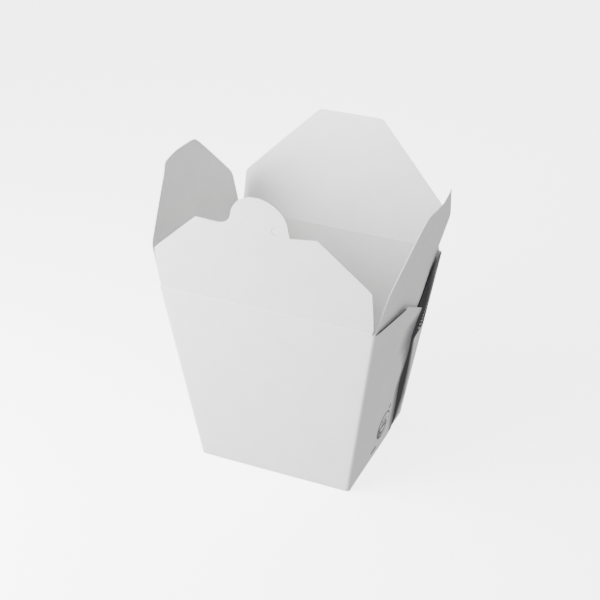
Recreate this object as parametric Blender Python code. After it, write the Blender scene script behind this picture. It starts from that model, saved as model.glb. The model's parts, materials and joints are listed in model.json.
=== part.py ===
"""Open paperboard noodle box: a tapered pail with folded side webs and four hinged top flaps.

The frame has X to the right along the front wall, Y into the depth and Z up. The origin is the
centre of the underside. All lengths are in metres.
"""

from dataclasses import dataclass
from math import asin, cos, pi, radians, sin, sqrt

import bmesh
import bpy
import numpy as np
from mathutils import Vector

BOARD = 0.0005
HEIGHT = 0.0990

# Outer faces of the two side walls and of the front and back walls, at the base and at the rim.
BASE_SIDE_SPAN = 0.0798
RIM_SIDE_SPAN = 0.1090
BASE_DEPTH = 0.0748
RIM_DEPTH = 0.0883

CORNER_RADIUS = 0.0019
CORNER_STEPS = 5
BASE_CORNER_RADIUS = 0.0010
WALL_ROWS = 10
WEB_COLUMNS = 9
WALL_COLUMNS = 4

# The creases step up by a little more than the board from the side walls to the back wall and
# to the front wall, so that the closed flaps stack.
SIDE_CREASE_HEIGHT = HEIGHT - 0.0007
BACK_CREASE_HEIGHT = HEIGHT
FRONT_CREASE_HEIGHT = HEIGHT + 0.0007
CREASE_BELOW = 0.00030
CREASE_ABOVE = 0.00040
WEB_CORNER_HEIGHT = SIDE_CREASE_HEIGHT - 0.0005

GLUE_RADIUS = 0.0050
GLUE_SIDES = 12
GLUE_SPOTS = ((0.0020, 0.0200), (0.0015, 0.0480))

CUP_CUTS = 8
RISE_CUTS = 4
TAB_STEPS = 18
FILLET_STEPS = 6

BOARD_WHITE = (0.82, 0.82, 0.81, 1.0)
BOARD_ROUGHNESS = 0.55


@dataclass(frozen=True)
class Web:
    """A sheet's wing: the part that is folded round a corner and laid over the side wall."""

    end: int
    crease_height: float
    knee: tuple
    shoulder: tuple
    edge: tuple
    corner_low: float
    corner_high: float
    edge_low: float
    edge_high: float
    settle: float
    bulge: float


FRONT_WEB = Web(
    end=-1,
    crease_height=FRONT_CREASE_HEIGHT,
    knee=(-0.0035, 0.0918),
    shoulder=(0.0275, 0.0722),
    edge=((0.0, 0.0190), (0.016, 0.0160), (0.036, 0.0135), (0.050, 0.0180), (0.060, 0.0165),
          (0.067, 0.0205), (0.0722, 0.0275)),
    corner_low=0.0006,
    corner_high=0.0009,
    edge_low=0.0012,
    edge_high=0.0021,
    settle=1.0,
    bulge=0.0005,
)
BACK_WEB = Web(
    end=1,
    crease_height=BACK_CREASE_HEIGHT,
    knee=(0.0330, 0.0940),
    shoulder=(0.0080, 0.0590),
    edge=((0.0, 0.0060), (0.059, 0.0080)),
    corner_low=0.0007,
    corner_high=0.0019,
    edge_low=0.0006,
    edge_high=0.0010,
    settle=0.35,
    bulge=0.0,
)


@dataclass(frozen=True)
class Flap:
    """A top flap: its crease, its lean from upright and the sizes of its outline."""

    name: str
    turn: float
    reach: float
    crease_height: float
    lean: float
    half_width: float
    side_height: float
    tip_half_width: float
    tip_height: float
    cup: float
    has_tab: bool = False


def board_middle(span):
    """Distance from the centre to the middle of a wall's board, at the rim."""
    return span / 2 - BOARD / 2


FLAPS = (
    Flap("front_flap", 0.0, board_middle(RIM_DEPTH), FRONT_CREASE_HEIGHT, radians(8.0),
         0.0538, 0.0240, 0.0297, 0.0465, 0.0004, has_tab=True),
    Flap("back_flap", pi, board_middle(RIM_DEPTH), BACK_CREASE_HEIGHT, radians(16.6),
         0.0538, 0.0213, 0.0172, 0.0587, 0.0012),
    Flap("right_flap", pi / 2, board_middle(RIM_SIDE_SPAN), SIDE_CREASE_HEIGHT, radians(15.7),
         0.0418, 0.0226, 0.0157, 0.0507, 0.0014),
    Flap("left_flap", -pi / 2, board_middle(RIM_SIDE_SPAN), SIDE_CREASE_HEIGHT, radians(10.6),
         0.0418, 0.0226, 0.0157, 0.0507, 0.0014),
)

TAB_CENTRE = (0.0018, 0.0493)
TAB_RADIUS = 0.0140
TAB_NECK_HEIGHT = 0.0457
TAB_FILLET_START = -0.0181
TAB_FILLET_CONTROL = (-0.0132, 0.0460)
TAB_FILLET_END_HEIGHT = 0.0518
TAB_NOTCH_WIDTH = 0.0010


def clear_scene():
    """Remove every object that the file opens with."""
    for item in list(bpy.data.objects):
        bpy.data.objects.remove(item, do_unlink=True)


def side_face(z):
    """X of the right side wall's outer face at height z."""
    return (BASE_SIDE_SPAN + (RIM_SIDE_SPAN - BASE_SIDE_SPAN) * z / HEIGHT) / 2


def end_face(z):
    """Y of the back wall's outer face at height z; the front wall's is its negative."""
    return (BASE_DEPTH + (RIM_DEPTH - BASE_DEPTH) * z / HEIGHT) / 2


def ease(t):
    """Smooth step from 0 to 1."""
    t = min(max(t, 0.0), 1.0)
    return t * t * (3 - 2 * t)


def blend(a, b, t):
    """Value between a and b at t."""
    return a + (b - a) * t


def corner_standoff(web, z):
    """How far a sheet's corner stands out from the side wall's outer face."""
    return blend(web.corner_low, web.corner_high, z / HEIGHT)


def web_standoff(web, s, z):
    """How far a web stands out from the side wall, s from 0 at its corner to 1 at its edge."""
    at_edge = blend(web.edge_low, web.edge_high, z / web.shoulder[1])
    lift = web.bulge * 4 * s * (1 - s) * z / HEIGHT
    return blend(corner_standoff(web, z), at_edge, ease(s / web.settle)) + lift


def web_edge_y(web, z):
    """Y of a web's free edge at height z, smooth between the edge's own points."""
    heights, places = zip(*web.edge)
    i = max(k for k in range(len(heights) - 1) if heights[k] <= z or k == 0)
    return blend(places[i], places[i + 1], ease((z - heights[i]) / (heights[i + 1] - heights[i])))


def web_top(web, s):
    """Height of a web's top edge: from the corner, by the knee, to the shoulder."""
    corner_y = web.end * end_face(HEIGHT)
    knee_s = (web.knee[0] - corner_y) / (web.shoulder[0] - corner_y)
    if s < knee_s:
        return blend(WEB_CORNER_HEIGHT, web.knee[1], s / knee_s)
    return blend(web.knee[1], web.shoulder[1], (s - knee_s) / (1 - knee_s))


def web_column(web, s, sheet_rows):
    """Points up one column of the right-hand web."""
    points = []
    for row in range(sheet_rows + 1):
        z = web_top(web, s) * row / sheet_rows
        start = web.end * (end_face(z) - CORNER_RADIUS)
        y = blend(start, web_edge_y(web, z), s)
        points.append((side_face(z) + web_standoff(web, s, z), y, z))
    return points


def corner_column(web, angle, sheet_rows):
    """Points up one column of the right-hand corner, angle 0 towards X and 90 towards the end."""
    points = []
    top = blend(WEB_CORNER_HEIGHT, web.crease_height - CREASE_BELOW, sin(angle))
    for row in range(sheet_rows + 1):
        z = top * row / sheet_rows
        middle_x = side_face(z) + corner_standoff(web, z) - CORNER_RADIUS
        middle_y = end_face(z) - CORNER_RADIUS
        x = middle_x + CORNER_RADIUS * cos(angle)
        y = web.end * (middle_y + CORNER_RADIUS * sin(angle))
        points.append((x, y, z))
    return points


def wall_column(web, t, sheet_rows):
    """Points up one column of the front or back wall, t from 0 at the middle to 1."""
    points = []
    for row in range(sheet_rows + 1):
        z = (web.crease_height - CREASE_BELOW) * row / sheet_rows
        reach = side_face(z) + corner_standoff(web, z) - CORNER_RADIUS
        points.append((t * reach, web.end * end_face(z), z))
    return points


def wrap_grid(web):
    """Outer face of a sheet that wraps round one end: web, corner, wall, corner, web."""
    right = [web_column(web, 1 - i / WEB_COLUMNS, WALL_ROWS) for i in range(WEB_COLUMNS)]
    right += [corner_column(web, i * pi / 2 / CORNER_STEPS, WALL_ROWS) for i in range(CORNER_STEPS)]
    right += [wall_column(web, 1 - i / WALL_COLUMNS, WALL_ROWS) for i in range(WALL_COLUMNS)]
    right = np.array(right)
    left = right[::-1] * np.array((-1.0, 1.0, 1.0))
    middle = np.array([wall_column(web, 0.0, WALL_ROWS)])
    return np.concatenate((right, middle, left))


def grid_normals(grid):
    """Unit normals of a grid of points, from its neighbouring columns and rows."""
    across = np.gradient(grid, axis=0)
    up = np.gradient(grid, axis=1)
    normals = np.cross(across, up)
    return normals / np.linalg.norm(normals, axis=2, keepdims=True)


def sheet_solid(name, outer, inner):
    """Closed solid between two grids of points with the same rows and columns."""
    columns, rows = outer.shape[:2]
    mesh = bmesh.new()
    faces = []
    verts = []
    for grid in (outer, inner):
        verts.append([[mesh.verts.new(point) for point in column] for column in grid])
    for side in verts:
        for i in range(columns - 1):
            for j in range(rows - 1):
                faces.append((side[i][j], side[i + 1][j], side[i + 1][j + 1], side[i][j + 1]))
    rim = [(i, 0) for i in range(columns)] + [(columns - 1, j) for j in range(1, rows)]
    rim += [(i, rows - 1) for i in range(columns - 2, -1, -1)]
    rim += [(0, j) for j in range(rows - 2, 0, -1)]
    for (i, j), (k, m) in zip(rim, rim[1:] + rim[:1]):
        faces.append((verts[0][i][j], verts[0][k][m], verts[1][k][m], verts[1][i][j]))
    for face in faces:
        mesh.faces.new(face)
    return finish_mesh(name, mesh)


def finish_mesh(name, mesh):
    """Turn a closed bmesh outwards and put it in the scene."""
    bmesh.ops.recalc_face_normals(mesh, faces=mesh.faces)
    data = bpy.data.meshes.new(name)
    mesh.to_mesh(data)
    mesh.free()
    item = bpy.data.objects.new(name, data)
    bpy.context.scene.collection.objects.link(item)
    return item


def wrap_sheet(web, name):
    """One end of the box: its wall with the webs that fold round both corners."""
    outer = wrap_grid(web)
    normals = grid_normals(outer)
    outward = np.sign(np.sum(normals[len(outer) // 2, 0] * np.array((0.0, web.end, 0.0))))
    return sheet_solid(name, outer, outer - normals * outward * BOARD)


def wall_end(web, z):
    """Y at which a side wall's edge lies in the middle of the sheet that it meets."""
    ring = CORNER_RADIUS - BOARD / 2
    off = max(0.0, CORNER_RADIUS - corner_standoff(web, z) - BOARD / 2)
    return web.end * (end_face(z) - CORNER_RADIUS + sqrt(ring * ring - off * off))


def side_wall(side, name):
    """Side wall between the two wrapped sheets, side 1 on the right and -1 on the left."""
    top = SIDE_CREASE_HEIGHT - CREASE_BELOW
    outer = []
    for t in (0.0, 0.5, 1.0):
        column = []
        for row in range(WALL_ROWS + 1):
            z = top * row / WALL_ROWS
            y = blend(wall_end(FRONT_WEB, z), wall_end(BACK_WEB, z), t)
            column.append((side * side_face(z), y, z))
        outer.append(column)
    outer = np.array(outer)
    return sheet_solid(name, outer, outer - np.array((side * BOARD, 0.0, 0.0)))


def base_plate(name):
    """Base between the walls, with its corners rounded into them."""
    x = side_face(0) - BOARD / 2 - BASE_CORNER_RADIUS
    y = end_face(0) - BOARD / 2 - BASE_CORNER_RADIUS
    outline = []
    for quarter, (sx, sy) in enumerate(((1, 1), (-1, 1), (-1, -1), (1, -1))):
        for step in range(CORNER_STEPS + 1):
            angle = (quarter + step / CORNER_STEPS) * pi / 2
            outline.append((sx * x + BASE_CORNER_RADIUS * cos(angle),
                            sy * y + BASE_CORNER_RADIUS * sin(angle), 0.0))
    mesh = bmesh.new()
    face = mesh.faces.new([mesh.verts.new(point) for point in outline])
    raised = bmesh.ops.extrude_face_region(mesh, geom=[face])
    lift = [item for item in raised["geom"] if isinstance(item, bmesh.types.BMVert)]
    bmesh.ops.translate(mesh, verts=lift, vec=(0.0, 0.0, BOARD))
    return finish_mesh(name, mesh)


def glue_spot(side, place, name):
    """Round spot of glue that holds both webs to the side wall."""
    y, z = place
    start = side_face(z) - BOARD / 2
    s = (y + end_face(z)) / (web_edge_y(FRONT_WEB, z) + end_face(z))
    end = side_face(z) + web_standoff(FRONT_WEB, s, z) - BOARD / 2
    mesh = bmesh.new()
    bmesh.ops.create_circle(mesh, cap_ends=True, segments=GLUE_SIDES, radius=GLUE_RADIUS)
    slope = (RIM_SIDE_SPAN - BASE_SIDE_SPAN) / 2 / HEIGHT
    for vert in mesh.verts:
        across, up = vert.co.x, vert.co.y
        vert.co = Vector((side * (start + slope * up), y + across, z + up))
    raised = bmesh.ops.extrude_face_region(mesh, geom=list(mesh.faces))
    lift = [item for item in raised["geom"] if isinstance(item, bmesh.types.BMVert)]
    bmesh.ops.translate(mesh, verts=lift, vec=(side * (end - start), 0.0, 0.0))
    return finish_mesh(name, mesh)


def union(base, others):
    """Fuse other solids into a base object and remove them."""
    group = bpy.data.collections.new("joined_into_" + base.name)
    for item in others:
        bpy.context.scene.collection.objects.unlink(item)
        group.objects.link(item)
    bpy.context.scene.collection.children.link(group)
    join = base.modifiers.new("join", "BOOLEAN")
    join.operation = "UNION"
    join.operand_type = "COLLECTION"
    join.collection = group
    join.solver = "EXACT"
    bpy.context.view_layer.update()
    evaluated = base.evaluated_get(bpy.context.evaluated_depsgraph_get())
    fused = bpy.data.meshes.new_from_object(evaluated)
    base.modifiers.clear()
    base.data = fused
    for item in others:
        bpy.data.objects.remove(item, do_unlink=True)
    bpy.data.collections.remove(group)


def curve_points(start, control, end, steps):
    """Points along a curve that leaves start and reaches end by way of a control point."""
    points = []
    for i in range(steps + 1):
        t = i / steps
        weights = ((1 - t) ** 2, 2 * t * (1 - t), t * t)
        points.append(tuple(sum(w * p[k] for w, p in zip(weights, (start, control, end)))
                            for k in (0, 1)))
    return points


def tab_outline():
    """Right to left round the tab: notch, round head and the wide fillet on its left."""
    cx, cy = TAB_CENTRE
    low = asin((TAB_NECK_HEIGHT - cy) / TAB_RADIUS)
    high = pi - asin((TAB_FILLET_END_HEIGHT - cy) / TAB_RADIUS)
    head = []
    for i in range(TAB_STEPS + 1):
        angle = blend(low, high, i / TAB_STEPS)
        head.append((cx + TAB_RADIUS * cos(angle), cy + TAB_RADIUS * sin(angle)))
    notch = (head[0][0] + TAB_NOTCH_WIDTH, TAB_NECK_HEIGHT)
    fillet = curve_points(head[-1], TAB_FILLET_CONTROL,
                          (TAB_FILLET_START, TAB_NECK_HEIGHT), FILLET_STEPS)
    return [notch] + head + fillet[1:]


def flap_outline(flap):
    """Outline of a flap in its own plane, from the crease upwards."""
    right = [(flap.half_width, CREASE_ABOVE), (flap.half_width, flap.side_height),
             (flap.tip_half_width, flap.tip_height)]
    left = [(-x, z) for x, z in reversed(right)]
    return right + (tab_outline() if flap.has_tab else []) + left


def cup(flap, x, z):
    """How far a flap's middle bows outwards, which grows from nothing at the crease."""
    across = x / flap.half_width
    return flap.cup * (1 - 2 * across * across) * (z / flap.tip_height) ** 2


def make_flap(flap):
    """Flap with its origin on its crease, Z up the flap and -Y out of the box."""
    mesh = bmesh.new()
    points = [mesh.verts.new((x, -BOARD / 2, z)) for x, z in flap_outline(flap)]
    face = mesh.faces.new(points)
    raised = bmesh.ops.extrude_face_region(mesh, geom=[face])
    lift = [item for item in raised["geom"] if isinstance(item, bmesh.types.BMVert)]
    bmesh.ops.translate(mesh, verts=lift, vec=(0.0, BOARD, 0.0))
    for i in range(1, CUP_CUTS):
        place = blend(-flap.half_width, flap.half_width, i / CUP_CUTS)
        cut(mesh, (place, 0.0, 0.0), (1.0, 0.0, 0.0))
    for i in range(1, RISE_CUTS):
        cut(mesh, (0.0, 0.0, flap.tip_height * i / RISE_CUTS), (0.0, 0.0, 1.0))
    bmesh.ops.triangulate(mesh, faces=list(mesh.faces))
    for vert in mesh.verts:
        vert.co.y -= cup(flap, vert.co.x, vert.co.z)
    item = finish_mesh(flap.name, mesh)
    item.location = (flap.reach * sin(flap.turn), -flap.reach * cos(flap.turn),
                     flap.crease_height)
    item.rotation_euler = (flap.lean, 0.0, flap.turn)
    return item


def cut(mesh, place, direction):
    """Cut every face of a mesh along a plane, keeping both halves."""
    geometry = list(mesh.verts) + list(mesh.edges) + list(mesh.faces)
    bmesh.ops.bisect_plane(mesh, geom=geometry, plane_co=place, plane_no=direction)


def make_box():
    """Base, four walls and the folded webs, as the one sheet that they are."""
    box = wrap_sheet(FRONT_WEB, "box")
    others = [wrap_sheet(BACK_WEB, "back_sheet"), base_plate("base_sheet")]
    for side, label in ((1, "right"), (-1, "left")):
        others.append(side_wall(side, label + "_wall"))
        for number, place in enumerate(GLUE_SPOTS):
            others.append(glue_spot(side, place, f"{label}_glue_{number}"))
    union(box, others)
    return box


def dress(item):
    """Give an object its own coated white board."""
    material = bpy.data.materials.new(item.name + "_board")
    material.use_nodes = True
    shader = material.node_tree.nodes["Principled BSDF"]
    shader.inputs["Base Color"].default_value = BOARD_WHITE
    shader.inputs["Roughness"].default_value = BOARD_ROUGHNESS
    shader.inputs["Metallic"].default_value = 0.0
    item.data.materials.clear()
    item.data.materials.append(material)
    item.data.shade_smooth()
    item.data.set_sharp_from_angle(angle=radians(30))


clear_scene()
for piece in [make_box()] + [make_flap(flap) for flap in FLAPS]:
    dress(piece)
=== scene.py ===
"""Looks of an open noodle box, folded and glued from one blank of coated white board.

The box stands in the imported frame: X to the right along the front wall, Y into the depth and Z
up, with the origin at the centre of the underside. All lengths are in metres.
"""

import json
import logging
from dataclasses import dataclass, replace
from enum import Enum, IntEnum
from math import asin, atan, cos, exp, pi, radians, sin, sqrt

import bmesh
import bpy
import numpy as np
from mathutils import Matrix, Vector

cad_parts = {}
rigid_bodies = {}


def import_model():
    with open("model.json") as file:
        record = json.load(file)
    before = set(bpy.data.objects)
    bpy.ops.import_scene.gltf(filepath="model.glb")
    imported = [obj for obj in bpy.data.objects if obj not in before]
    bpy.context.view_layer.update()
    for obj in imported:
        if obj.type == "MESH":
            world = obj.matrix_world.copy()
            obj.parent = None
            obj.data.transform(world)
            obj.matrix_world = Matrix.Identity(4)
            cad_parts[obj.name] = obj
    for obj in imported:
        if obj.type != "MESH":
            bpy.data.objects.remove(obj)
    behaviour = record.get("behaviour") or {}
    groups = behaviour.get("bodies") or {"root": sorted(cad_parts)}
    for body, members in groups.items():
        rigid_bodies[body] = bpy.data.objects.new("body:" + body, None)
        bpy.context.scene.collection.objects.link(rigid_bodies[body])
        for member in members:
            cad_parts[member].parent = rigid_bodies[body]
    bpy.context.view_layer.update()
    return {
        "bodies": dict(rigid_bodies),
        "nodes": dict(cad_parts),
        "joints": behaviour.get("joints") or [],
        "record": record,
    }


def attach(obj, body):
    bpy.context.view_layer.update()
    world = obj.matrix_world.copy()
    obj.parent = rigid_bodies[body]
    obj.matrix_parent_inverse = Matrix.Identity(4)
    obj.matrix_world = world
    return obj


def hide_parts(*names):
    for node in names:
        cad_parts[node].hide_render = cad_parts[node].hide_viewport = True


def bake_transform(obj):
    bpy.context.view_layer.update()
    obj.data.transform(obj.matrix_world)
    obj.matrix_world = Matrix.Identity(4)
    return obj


LOG = logging.getLogger("noodle_box")
MM = 0.001

Pair = tuple[float, float]
Point = tuple[float, float, float]
Grid = list[list["Knot"]]


def blend(a: float, b: float, t: float) -> float:
    """Value between a and b at t."""
    return a + (b - a) * t


def ease(t: float) -> float:
    """Smooth step from 0 to 1."""
    t = min(max(t, 0.0), 1.0)
    return t * t * (3 - 2 * t)


def eased_along(stations: tuple[Pair, ...], z: float) -> float:
    """Value at height z, eased from station to station.

    Args:
        stations: Pairs of height and value, lowest first.
        z: Height, held between the first and the last station.

    Returns:
        The eased value.
    """
    for (low, start), (high, end) in zip(stations, stations[1:]):
        if z <= high:
            return blend(start, end, ease((z - low) / (high - low)))
    return stations[-1][1]


class Skin(IntEnum):
    """Which finish a face of the board wears."""

    COATED = 0
    INKED = 1
    MARKED = 2
    INSIDE = 3
    CUT = 4


class Side(IntEnum):
    """Which way along X a side panel faces."""

    RIGHT = 1
    LEFT = -1

    def turned(self, grid: Grid) -> Grid:
        """Columns in the order that turns the faces out on this side."""
        return grid if self is Side.RIGHT else grid[::-1]


class Grain(Enum):
    """Direction in which the board's fibres run on a face, as stretches of the noise."""

    UPRIGHT = (1.0, 0.35, 1.0)
    LEVEL = (0.35, 1.0, 1.0)


@dataclass(frozen=True)
class Knot:
    """One point of a board face with what the finishes need to know there.

    Attributes:
        place: The point in the box's frame.
        layout: The point on the flat blank.
        wear: How much the coat is cracked, 0 to 1.
        shade: Nearness to the edge of painted shade or dark fringe: 1 on it, 0 or less past them.
        inset: Distance inside the dark field, from its edge.
    """

    place: Point
    layout: Pair
    wear: float = 0.0
    shade: float = 0.0
    inset: float = 0.0


class Sketch:
    """Shorthand for laying out the nodes of one material."""

    def __init__(self, name: str) -> None:
        """Start a material with its surface shader alone."""
        self.material = bpy.data.materials.new(name)
        self.material.use_nodes = True
        self.tree = self.material.node_tree
        self.shader = self.tree.nodes["Principled BSDF"]

    def node(self, kind: str, inputs: dict | None = None, **settings) -> bpy.types.Node:
        """Add a node.

        Args:
            kind: Type of the node, such as "ShaderNodeMath".
            inputs: Values or sockets by the input's name or number.
            settings: Attributes of the node.

        Returns:
            The new node.
        """
        made = self.tree.nodes.new(kind)
        for key, value in settings.items():
            setattr(made, key, value)
        for key, value in (inputs or {}).items():
            if isinstance(value, bpy.types.NodeSocket):
                self.tree.links.new(value, made.inputs[key])
            else:
                made.inputs[key].default_value = value
        return made

    def math(self, operation: str, *values, clamp: bool = False) -> bpy.types.NodeSocket:
        """Result of one operation on numbers or sockets."""
        inputs = dict(enumerate(values))
        return self.node("ShaderNodeMath", inputs, operation=operation, use_clamp=clamp).outputs[0]

    def reach(self, x: bpy.types.NodeSocket, y: bpy.types.NodeSocket) -> bpy.types.NodeSocket:
        """Length of the step x, y."""
        square = self.math("POWER", x, 2.0)
        return self.math("SQRT", self.math("ADD", square, self.math("POWER", y, 2.0)))

    def attribute(self, name: str) -> bpy.types.Node:
        """Node that reads a named value of the mesh."""
        return self.node("ShaderNodeAttribute", attribute_name=name)

    def split(self, vector: bpy.types.NodeSocket) -> list[bpy.types.NodeSocket]:
        """The three parts of a vector."""
        return list(self.node("ShaderNodeSeparateXYZ", {0: vector}).outputs)

    def noise(self, place: bpy.types.NodeSocket, scale: float, detail: float = 3.0,
              stretch: Point = (1.0, 1.0, 1.0)) -> bpy.types.NodeSocket:
        """Cloudy pattern on the blank.

        Args:
            place: Socket with the coordinates, in metres.
            scale: Number of clouds to a metre.
            detail: Number of finer layers.
            stretch: Factors on the coordinates; below 1 draws the clouds out.

        Returns:
            Socket with the pattern, about 0 to 1.
        """
        warp = self.node("ShaderNodeMapping", {"Vector": place, "Scale": stretch})
        made = self.node("ShaderNodeTexNoise", {"Vector": warp.outputs[0], "Scale": scale,
                                                "Detail": detail, "Roughness": 0.55})
        return made.outputs["Fac"]

    def ramp(self, value: bpy.types.NodeSocket, low: float, high: float,
             to_low: float = 0.0, to_high: float = 1.0) -> bpy.types.NodeSocket:
        """Value carried from one range to another, and held inside it."""
        made = self.node("ShaderNodeMapRange", {0: value, 1: low, 2: high, 3: to_low, 4: to_high})
        return made.outputs[0]

    def mix(self, share: bpy.types.NodeSocket, a: object, b: object) -> bpy.types.NodeSocket:
        """Colour between a and b."""
        made = self.node("ShaderNodeMix", data_type="RGBA")
        for number, value in ((0, share), (6, a), (7, b)):
            if isinstance(value, bpy.types.NodeSocket):
                self.tree.links.new(value, made.inputs[number])
            else:
                made.inputs[number].default_value = value
        return made.outputs[2]

    def bump(self, height: bpy.types.NodeSocket, distance: float, strength: float,
             under: bpy.types.NodeSocket | None = None) -> bpy.types.NodeSocket:
        """Normal that follows a height, on top of another one where it is given."""
        inputs = {"Height": height, "Distance": distance, "Strength": strength}
        if under is not None:
            inputs["Normal"] = under
        return self.node("ShaderNodeBump", inputs).outputs[0]

    def finish(self, colour: bpy.types.NodeSocket, roughness: bpy.types.NodeSocket,
               normal: bpy.types.NodeSocket) -> bpy.types.Material:
        """Connect the three results to the shader and hand the material over."""
        for name, socket in (("Base Color", colour), ("Roughness", roughness), ("Normal", normal)):
            self.tree.links.new(socket, self.shader.inputs[name])
        return self.material


@dataclass(frozen=True)
class BoardFinish:
    """Coated face of food board: even white with faint clouds, fibres under the coat and folds
    where the coat has cracked, and painted shade or a soft dark fringe where the mesh asks for it."""

    name: str
    shaded: bool = True
    gloss: float = 0.35
    white: tuple[float, float, float, float] = (0.800, 0.800, 0.795, 1.0)
    cloud: tuple[float, float, float, float] = (0.765, 0.765, 0.762, 1.0)
    fibre: tuple[float, float, float, float] = (0.86, 0.855, 0.84, 1.0)
    # Dark colour of the print, which is also laid on as painted shade.
    ink_and_painted_shade: tuple[float, float, float, float] = (0.048, 0.048, 0.052, 1.0)
    smooth: float = 0.40
    rough: float = 0.54
    cloud_scale: float = 70.0
    fibre_scale: float = 1500.0
    peel_scale: float = 420.0
    relief: float = 0.00003
    grain: Grain = Grain.UPRIGHT
    shade_density: float = 0.98
    shade_falloff: float = 2.0

    def make(self) -> bpy.types.Material:
        """Build the plain coated face."""
        sketch = Sketch(self.name)
        colour, roughness, normal = self.surface(sketch)
        return sketch.finish(colour, roughness, normal)

    def surface(self, sketch: Sketch) -> tuple[bpy.types.NodeSocket, ...]:
        """Colour, roughness and normal of the coated face.

        Args:
            sketch: Material that the nodes go into.

        Returns:
            Sockets for the colour, the roughness and the normal.
        """
        place = sketch.attribute("layout").outputs["Vector"]
        clouds = sketch.noise(place, self.cloud_scale, 4.0)
        fibres = sketch.noise(place, self.fibre_scale, 4.0, self.grain.value)
        peel = sketch.noise(place, self.peel_scale, 2.0)
        wear = sketch.attribute("wear").outputs["Fac"]
        cracks = sketch.ramp(fibres, 0.50, 0.68)
        cracked = sketch.math("MULTIPLY", wear, cracks)
        colour = sketch.mix(sketch.ramp(clouds, 0.40, 0.68), self.white, self.cloud)
        # Painted shade: the dark colour is mixed in where the mesh's shade value asks. Along the
        # front web's free and top edges it stands for the shadow where the web curls in and stands
        # off the wall; beside the dark field it gives the field's edge a soft fringe.
        if self.shaded:
            colour = sketch.mix(self.shade(sketch), colour, self.ink_and_painted_shade)
        colour = sketch.mix(cracked, colour, self.fibre)
        roughness = sketch.ramp(peel, 0.3, 0.7, self.smooth, self.rough)
        roughness = sketch.math("ADD", roughness, sketch.math("MULTIPLY", cracked, 0.25))
        under = sketch.bump(peel, self.relief, 0.5)
        normal = sketch.bump(fibres, self.relief, 0.35, under)
        sketch.shader.inputs["Specular IOR Level"].default_value = self.gloss
        return colour, roughness, normal

    def shade(self, sketch: Sketch) -> bpy.types.NodeSocket:
        """Share of the dark colour in the painted shade or fringe: steep at its edge and fading out.
        """
        near = sketch.attribute("shade").outputs["Fac"]
        away = sketch.math("SUBTRACT", 1.0, near, clamp=True)
        light = sketch.math("POWER", away, self.shade_falloff)
        return sketch.math("MULTIPLY", sketch.math("SUBTRACT", 1.0, light), self.shade_density)


@dataclass(frozen=True)
class InkFinish(BoardFinish):
    """Field of flat dark print on the coated face, with a chain of light dots along one side."""

    dot_start: float = 0.0560
    dot_end: float = 0.0900
    dot_pitch: float = 0.00145
    dot_radius: float = 0.00032
    dot_rows: tuple[Pair, ...] = ((0.0017, 0.0), (0.0043, 0.5))
    dot_squeeze: float = 0.62
    speckle_scale: float = 2600.0

    def make(self) -> bpy.types.Material:
        """Build the inked face."""
        sketch = Sketch(self.name)
        white, roughness, normal = self.surface(sketch)
        place = sketch.attribute("layout").outputs["Vector"]
        speckle = sketch.noise(place, self.speckle_scale, 2.0)
        bare = sketch.ramp(speckle, 0.66, 0.80, 0.0, 0.35)
        wear = sketch.attribute("wear").outputs["Fac"]
        bare = sketch.math("MAXIMUM", bare, sketch.math("MULTIPLY", wear, 0.4))
        bare = sketch.math("MAXIMUM", bare, self.dots(sketch), clamp=True)
        colour = sketch.mix(bare, self.ink_and_painted_shade, white)
        return sketch.finish(colour, roughness, normal)

    def dots(self, sketch: Sketch) -> bpy.types.NodeSocket:
        """Share of bare board left by the chain of dots.

        Args:
            sketch: Material that the nodes go into.

        Returns:
            Socket that is 1 in a dot and 0 elsewhere.
        """
        _, up, inset = sketch.split(sketch.attribute("print_place").outputs["Vector"])
        rows = []
        for row_inset, phase in self.dot_rows:
            shifted = sketch.math("ADD", up, phase * self.dot_pitch)
            along = sketch.math("WRAP", shifted, self.dot_pitch / 2, -self.dot_pitch / 2)
            beside = sketch.math("SUBTRACT", inset, row_inset)
            beside = sketch.math("MULTIPLY", beside, self.dot_squeeze)
            rows.append(sketch.math("LESS_THAN", sketch.reach(along, beside), self.dot_radius))
        middle = (self.dot_start + self.dot_end) / 2
        inside = sketch.math("COMPARE", up, middle, (self.dot_end - self.dot_start) / 2)
        return sketch.math("MULTIPLY", sketch.math("MAXIMUM", *rows), inside)


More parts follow.
